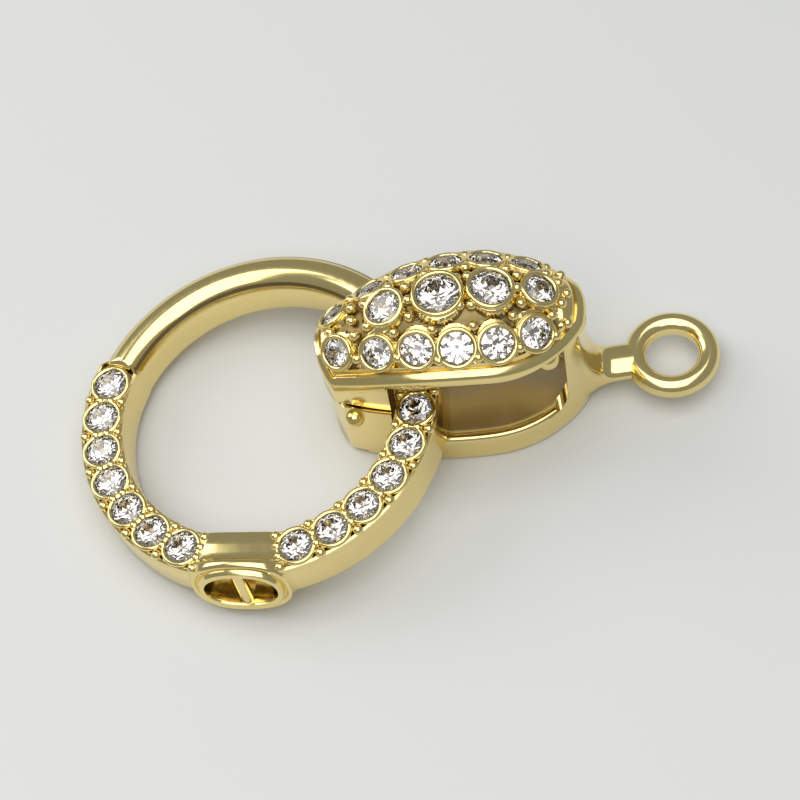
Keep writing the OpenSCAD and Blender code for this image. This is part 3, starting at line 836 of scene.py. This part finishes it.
class OBJECT_OT_clasp_cover(bpy.types.Operator):
    """Model the domed cover: crown, polished lip, seats, beads, knuckle and snap bar"""
    bl_idname = "object.clasp_cover"
    bl_label = "Cover"

    def execute(self, context):
        hook = settings("hook")
        piece = self.dome(hook)
        swing = rod("swing", KNUCKLE_RADIUS + PART_GAP, 6, PIN_PLACE, "Y", 64)
        for room in (self.under(hook), self.cavity(hook), swing):
            boolean(piece, room, "DIFFERENCE")
        for part in (self.knuckle(hook), self.snap(hook)):
            boolean(piece, part, "UNION")
        boolean(piece, rod("pin_hole", PIN_RADIUS + PIN_GAP, 6, PIN_PLACE, "Y", 40), "DIFFERENCE")
        self.set_stones(piece, hook)

        # Faces of the cavity under the crown take the satin gold darkened as painted shade
        def inside(middle, facing):
            inner = within_leaf(hook, middle, -COVER_WALL) > -0.05
            return inner and 2.3 < middle.x < 8.6 and hook.rim_height + 0.1 < middle.z < CAVITY_TOP + 0.05

        # Faces deep in the cut between the collars take the painted shade between the stones
        def between(middle, facing):
            if facing.z < 0.3 or not LEAF_FROM < middle.x < LEAF_TO or within_leaf(hook, middle, -0.3) < 0:
                return False
            return 0.6 * COLLAR_CUT < crown_height(hook, middle.x, middle.y) - middle.z < 1.1 * COLLAR_CUT

        settle(piece, HOOK_PLACE, "cover", ["cover"], satin_and_shade=inside, cut=between)
        return {"FINISHED"}

    def set_stones(self, piece, hook):
        """Raises the collars, cuts the seats and adds the beads, in groups whose members keep apart."""
        sides = [(x, y * side, size) for side in (-1, 1) for x, y, size in COVER_ROWS]
        groups = (COVER_MIDDLE[::2], COVER_MIDDLE[1::2], sides[::2], sides[1::2])
        collars = None
        for group in groups:
            raised = joined([placed(collar(size), on_crown(hook, x, y)
                                    @ Matrix.Translation((0, 0, COVER_COLLAR_LIFT))
                                    @ Matrix.Rotation(x + y, 4, "Z")) for x, y, size in group])
            if collars:
                boolean(collars, raised, "UNION")
            else:
                collars = raised
        boolean(piece, collars, "UNION")
        sunk = Matrix.Translation((0, 0, -STONE_SINK))
        for group in groups:
            rooms = [placed(seat(size), on_crown(hook, x, y) @ sunk) for x, y, size in group]
            boolean(piece, joined(rooms), "DIFFERENCE")
        for start in range(4):
            beads = [on_crown(hook, x, y) @ Matrix.Rotation(x + 2 * y, 4, "Z")
                     for x, y in COVER_BEADS[start::4]]
            boolean(piece, repeated(bead(COVER_BEAD_RADIUS), beads), "UNION")

    def dome(self, hook):
        """The leaf: a skirt from just above the hinge block, a rounded lip, and the crown with its cuts."""
        def below(drop):
            return lambda x, y: crown_height(hook, x, y) - drop
        low = hook.block_height + PART_GAP
        loops = [leaf(hook, low + up, grow, count=COVER_POINTS) for up, grow in COVER_SKIRT]
        loops += [leaf(hook, below(drop), grow, max(0, LIP_NOSE_SHARE * grow), COVER_POINTS)
                  for drop, grow in COVER_LIP]
        edge = leaf(hook, below(0), -CROWN_EDGE, count=COVER_POINTS)
        loops.append(edge)
        for step in range(1, CROWN_RINGS):
            share = 1 - step / CROWN_RINGS
            inner = [(CROWN_X + (point.x - CROWN_X) * share, point.y * share) for point in edge]
            loops.append([Vector((x, y, cut_height(hook, x, y))) for x, y in inner])
        return extruded("cover_body", loops)

    def under(self, hook):
        """What is cut away under the rim, all but the skirt inside the ring's hole."""
        under = slab("under", -0.5, PAST_END, 0, hook.rim_height)
        boolean(under, rod("skirt", BLOCK_BACK_RADIUS, 14, (*RING_FROM_TIP, 0), sides=256), "DIFFERENCE")
        return under

    def cavity(self, hook):
        """The hollow under the crown."""
        cavity = extruded("cavity", [leaf(hook, z, -COVER_WALL) for z in (hook.rim_height - 1, CAVITY_TOP)])
        boolean(cavity, slab("tip", BEFORE_TIP, CAVITY_FROM, 0, 9), "DIFFERENCE")
        boolean(cavity, slab("end", hook.cover_length - CAVITY_BACK, PAST_END, 0, 9), "DIFFERENCE")
        return cavity

    def knuckle(self, hook):
        """The knuckle between the hook's ears, and its root."""
        half = KNUCKLE_WIDTH / 2
        barrel = rod("knuckle", KNUCKLE_RADIUS - PART_GAP, KNUCKLE_WIDTH, PIN_PLACE, "Y", 48)
        root = block("root", (HINGE_FROM_TIP - 0.3, 0.002 - half, HINGE_Z),
                     (HINGE_FROM_TIP + KNUCKLE_RADIUS - 0.1, half - 0.002, hook.block_height + 0.5))
        boolean(barrel, root, "UNION")
        return barrel

    def snap(self, hook):
        """The round-ended snap bar and the web that carries it."""
        x, z, half = hook.cover_length - SNAP_BACK, hook.rim_height - SNAP_BELOW, SNAP_LONG / 2
        rounds = arc(-half, 0, SNAP_RADIUS, 170, 90, 6) + arc(half, 0, SNAP_RADIUS, 90, 10, 6)
        loops = [[Vector((x + u, y, z + v)) for u, v in circle(wide, 32)] for y, wide in rounds]
        bar = extruded("snap", loops)
        web = block("web", (x - WEB_HALF, -half, z), (x + WEB_HALF, half, CAVITY_TOP + 0.1))
        boolean(bar, web, "UNION")
        return bar


# Materials

def sockets(tree, inputs, outputs):
    """Adds a node group's named inputs and outputs, and returns its two end nodes."""
    for kind, name, default in inputs:
        socket = tree.interface.new_socket(name=name, in_out="INPUT", socket_type=kind)
        socket.default_value = default
    for kind, name in outputs:
        tree.interface.new_socket(name=name, in_out="OUTPUT", socket_type=kind)
    return tree.nodes.new("NodeGroupInput"), tree.nodes.new("NodeGroupOutput")


def polish_group():
    """Hand polish: soft patches of deeper tone, fine hairlines in the gloss and a slight waviness."""
    if "Hand polish" in bpy.data.node_groups:
        return bpy.data.node_groups["Hand polish"]
    tree = bpy.data.node_groups.new("Hand polish", "ShaderNodeTree")
    start, end = sockets(
        tree,
        [("NodeSocketColor", "Light", (1, 1, 1, 1)), ("NodeSocketColor", "Deep", (1, 1, 1, 1)),
         ("NodeSocketFloat", "Gloss", 0.1), ("NodeSocketFloat", "Hairlines", 0.1),
         ("NodeSocketFloat", "Waves", 0.1)],
        [("NodeSocketColor", "Color"), ("NodeSocketFloat", "Roughness"), ("NodeSocketVector", "Normal")])

    def noise(scale, detail):
        texture = tree.nodes.new("ShaderNodeTexNoise")
        texture.inputs["Scale"].default_value = scale
        texture.inputs["Detail"].default_value = detail
        return texture

    place = tree.nodes.new("ShaderNodeTexCoord")
    patches = noise(scale=420, detail=4)
    hairs = noise(scale=5200, detail=2)
    waves = noise(scale=900, detail=1)
    stretch = tree.nodes.new("ShaderNodeMapping")
    stretch.inputs["Scale"].default_value = (1, 0.12, 0.4)
    stretch.inputs["Rotation"].default_value = (0.3, 0.2, 0.6)
    mix = tree.nodes.new("ShaderNodeMix")
    mix.data_type = "RGBA"
    gloss = tree.nodes.new("ShaderNodeMath")
    gloss.operation = "MULTIPLY_ADD"
    bump = tree.nodes.new("ShaderNodeBump")
    bump.inputs["Distance"].default_value = 2e-5
    link = tree.links.new
    for texture in (patches, waves):
        link(place.outputs["Object"], texture.inputs["Vector"])
    link(place.outputs["Object"], stretch.inputs["Vector"])
    link(stretch.outputs["Vector"], hairs.inputs["Vector"])
    link(patches.outputs["Fac"], mix.inputs["Factor"])
    link(start.outputs["Light"], mix.inputs[6])
    link(start.outputs["Deep"], mix.inputs[7])
    link(hairs.outputs["Fac"], gloss.inputs[0])
    link(start.outputs["Hairlines"], gloss.inputs[1])
    link(start.outputs["Gloss"], gloss.inputs[2])
    link(waves.outputs["Fac"], bump.inputs["Height"])
    link(start.outputs["Waves"], bump.inputs["Strength"])
    link(mix.outputs[2], end.inputs["Color"])
    link(gloss.outputs["Value"], end.inputs["Roughness"])
    link(bump.outputs["Normal"], end.inputs["Normal"])
    return tree


def finish_material(name):
    """A new material and its Principled shader, or the one already made and no shader."""
    old = bpy.data.materials.get(name)
    if old:
        return old, None
    material = bpy.data.materials.new(name)
    material.use_nodes = True
    return material, material.node_tree.nodes["Principled BSDF"]


def polished(material, shader, light, deep, gloss, hairlines, waves):
    """Puts the hand polish before a shader. A colour with no deeper patches stays on the shader itself."""
    shader.inputs["Base Color"].default_value = (*light, 1)
    node = material.node_tree.nodes.new("ShaderNodeGroup")
    node.node_tree = polish_group()
    for name, value in (("Gloss", gloss), ("Hairlines", hairlines), ("Waves", waves)):
        node.inputs[name].default_value = value
    link = material.node_tree.links.new
    if deep is not None:
        node.inputs["Light"].default_value = (*light, 1)
        node.inputs["Deep"].default_value = (*deep, 1)
        link(node.outputs["Color"], shader.inputs["Base Color"])
    link(node.outputs["Roughness"], shader.inputs["Roughness"])
    link(node.outputs["Normal"], shader.inputs["Normal"])


def metal(name, light, deep, gloss, hairlines, waves):
    """A gold finish under the hand polish."""
    material, shader = finish_material(name)
    if shader:
        shader.inputs["Metallic"].default_value = 1
        polished(material, shader, light, deep, gloss, hairlines, waves)
    return material


def gold_material():
    """Polished yellow gold plating."""
    finish = settings("finish")
    return metal("Polished gold", finish.gold, finish.gold_deep, gloss=0.1, hairlines=0.1, waves=0.25)


def satin_and_shade_material():
    """Unpolished satin gold inside the throat and under the cover, made browner and darker as painted shade."""
    finish = settings("finish")
    return metal("Satin gold with painted shade", finish.inner, finish.inner_deep, gloss=0.22, hairlines=0.02, waves=0.1)


def painted_shade_material():
    """Painted shade: dark brown gold deep between the stones, darkened for the shade that falls there."""
    return metal("Painted shade gold", settings("finish").cut, None, gloss=0.3, hairlines=0.15, waves=0.5)


def stone_material():
    """Colourless cut stone with bright facets."""
    material, shader = finish_material("Clear stone")
    if shader:
        shader.inputs["IOR"].default_value = 2.1
        shader.inputs["Transmission Weight"].default_value = 1
        polished(material, shader, settings("finish").stone, None, gloss=0, hairlines=0.02, waves=0)
    return material


class OBJECT_OT_clasp_fittings(bpy.types.Operator):
    """Finish the stones and the hinge pin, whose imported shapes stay"""
    bl_idname = "object.clasp_fittings"
    bl_label = "Stones and pin"

    def execute(self, context):
        for name, node in frame["nodes"].items():
            if name == "hinge_pin" or "_stone_" in name:
                node.data.materials.clear()
                node.data.materials.append(gold_material() if name == "hinge_pin" else stone_material())
        return {"FINISHED"}


# Stage: places in millimetres, the camera's roll in degrees, its lens and sensor in millimetres

CAMERA_PLACE = Vector((3.775, -57.26, 98.7))
CAMERA_AIM = Vector((0, 0, 2.5))
CAMERA_ROLL = -11.2
CAMERA_LENS = 142.45
SENSOR_WIDTH = 36
NEAREST_METRES = 0.01
WORLD_COLOUR = (0.98, 1, 0.97, 1)
WORLD_STRENGTH = 0.29

# Lamps: name, place, width, length, power in watts, and whether it is aimed or shines straight down
LAMPS = [("Overhead", (-10, -45, 190), 190, 245, 0.295, False),
         ("Side", (-130, 70, 110), 110, 110, 0.095, True)]


class OBJECT_OT_clasp_stage(bpy.types.Operator):
    """Set the pale floor, the soft studio light and the camera"""
    bl_idname = "object.clasp_stage"
    bl_label = "Stage"

    def execute(self, context):
        self.camera(context)
        self.floor()
        self.lights(context)
        context.scene.view_settings.view_transform = "Standard"
        return {"FINISHED"}

    def camera(self, context):
        """The camera at the photograph's viewing angle."""
        place, aim, roll = CAMERA_PLACE * MM, CAMERA_AIM * MM, math.radians(CAMERA_ROLL)
        bpy.ops.object.camera_add(location=place)
        camera = bpy.context.active_object
        camera.data.lens = CAMERA_LENS
        camera.data.sensor_width = SENSOR_WIDTH
        camera.data.clip_start = NEAREST_METRES
        turn = (aim - place).to_track_quat("-Z", "Y").to_matrix().to_4x4() @ Matrix.Rotation(roll, 4, "Z")
        camera.matrix_world = Matrix.Translation(place) @ turn
        context.scene.camera = camera

    def floor(self):
        """The pale card that the clasp lies on."""
        bpy.ops.object.select_all(action="DESELECT")
        bpy.ops.mesh.primitive_plane_add(size=2, location=(0, 0, 0))
        floor = added("floor")
        material, shader = finish_material("Pale card")
        shader.inputs["Roughness"].default_value = 0.55
        shader.inputs["Base Color"].default_value = (*settings("finish").floor, 1)
        floor.data.materials.append(material)

    def lights(self, context):
        """Two soft boxes and the studio's own even light."""
        for name, place, wide, long, power, aimed in LAMPS:
            spot = Vector(place) * MM
            bpy.ops.object.light_add(type="AREA", location=spot)
            lamp = bpy.context.active_object
            lamp.name = name
            lamp.data.shape = "RECTANGLE"
            lamp.data.size, lamp.data.size_y = wide * MM, long * MM
            lamp.data.energy = power
            if aimed:
                lamp.rotation_euler = (-spot).to_track_quat("-Z", "Y").to_euler()
        world = bpy.data.worlds.new("Studio")
        world.use_nodes = True
        background = world.node_tree.nodes["Background"]
        background.inputs["Color"].default_value = WORLD_COLOUR
        background.inputs["Strength"].default_value = WORLD_STRENGTH
        context.scene.world = world


class VIEW3D_PT_clasp(bpy.types.Panel):
    """Sizes, colours and steps of the clasp"""
    bl_label = "Jewellery Clasp"
    bl_idname = "VIEW3D_PT_clasp"
    bl_space_type = "VIEW_3D"
    bl_region_type = "UI"
    bl_category = "Clasp"

    def draw(self, context):
        for group in GROUPS:
            box = self.layout.box()
            for name in group.__annotations__:
                box.prop(settings(GROUPS[group]), name)
        for operator in OPERATORS:
            self.layout.operator(operator.bl_idname)


GROUPS = {ClaspRingSettings: "ring", ClaspHookSettings: "hook", ClaspFinishSettings: "finish"}
OPERATORS = [OBJECT_OT_clasp_stage, OBJECT_OT_clasp_ring, OBJECT_OT_clasp_hook, OBJECT_OT_clasp_cover,
             OBJECT_OT_clasp_fittings]


def register():
    for kind in [*GROUPS, *OPERATORS, VIEW3D_PT_clasp]:
        bpy.utils.register_class(kind)
    for group, name in GROUPS.items():
        setattr(bpy.types.Scene, "clasp_" + name, bpy.props.PointerProperty(type=group))


def unregister():
    for name in GROUPS.values():
        delattr(bpy.types.Scene, "clasp_" + name)
    for kind in reversed([*GROUPS, *OPERATORS, VIEW3D_PT_clasp]):
        bpy.utils.unregister_class(kind)


def main():
    register()
    for operator in OPERATORS:
        group, name = operator.bl_idname.split(".")
        getattr(getattr(bpy.ops, group), name)()


if __name__ == "__main__":
    main()
